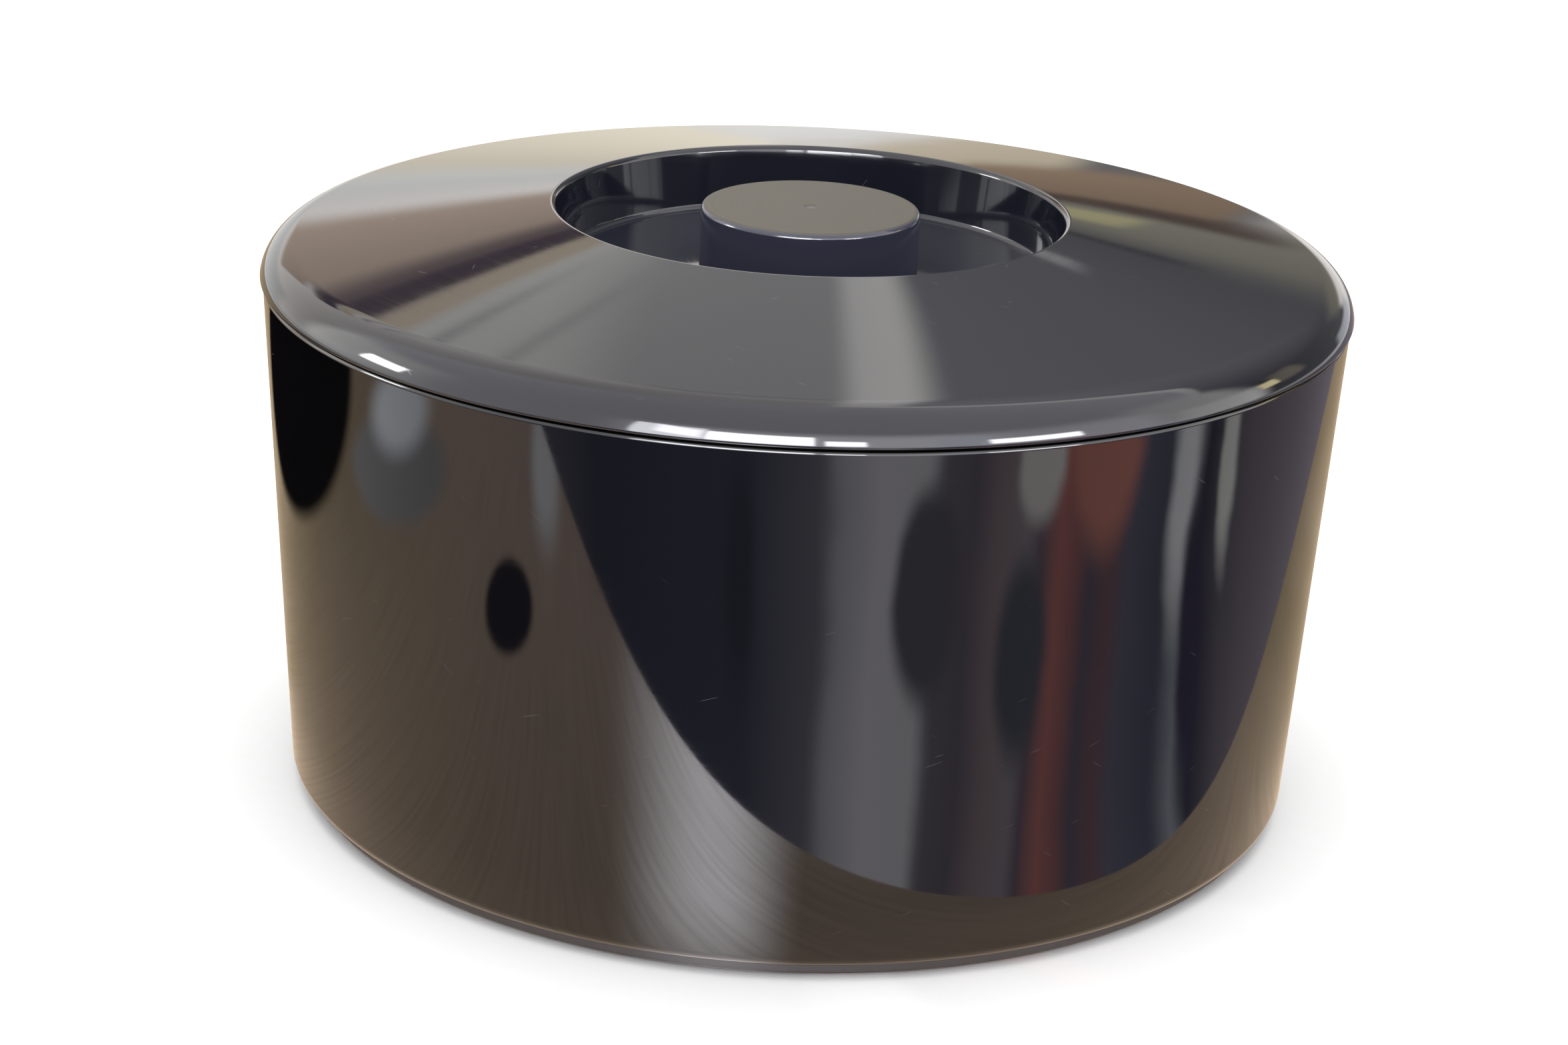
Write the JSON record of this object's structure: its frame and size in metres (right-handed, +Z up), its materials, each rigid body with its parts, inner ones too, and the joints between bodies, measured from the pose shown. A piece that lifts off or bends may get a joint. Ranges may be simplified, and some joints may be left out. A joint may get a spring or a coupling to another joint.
{
  "type": "insulated ice bucket",
  "caption": "Round insulated ice bucket in gloss black plastic, with a loose overhanging lid, a knob standing in a recessed well, a recessed foot and a lift-out drip tray.",
  "frame": {"origin": "on the bucket's axis, in the plane it stands on", "axes": "+Z up along the axis that the body, the lid and the knob are turned about; +X and +Y point between the rubber pads"},
  "size_m": [0.34, 0.34, 0.1862],
  "materials": {
    "shell_black": "gloss",
    "liner_white": "satin",
    "foam": "matte",
    "base_black": "satin",
    "screw_steel": "satin",
    "pad_rubber": "matte",
    "lid_black": "gloss",
    "knob_black": "satin",
    "tray_grey": "satin"
  },
  "bodies": {
    "bucket": {"outer_shell": "shell_black", "inner_liner": "liner_white", "wall_insulation": "foam", "floor_insulation": "foam", "base_plate": "base_black", "base_screws": "screw_steel", "foot_pads": "pad_rubber"},
    "lid": {"lid_cover": "lid_black", "lid_liner": "liner_white", "lid_insulation": "foam", "knob": "knob_black", "knob_screw": "screw_steel", "knob_washer": "screw_steel"},
    "tray": {"drip_tray": "tray_grey"}
  },
  "joints": [
    {"name": "lid_lift", "type": "slide", "parent": "bucket", "child": "lid", "axis": [0, 0, 1], "range_m": [0, 0.12]},
    {"name": "tray_lift", "type": "slide", "parent": "bucket", "child": "tray", "axis": [0, 0, 1], "range_m": [0, 0.11]}
  ]
}
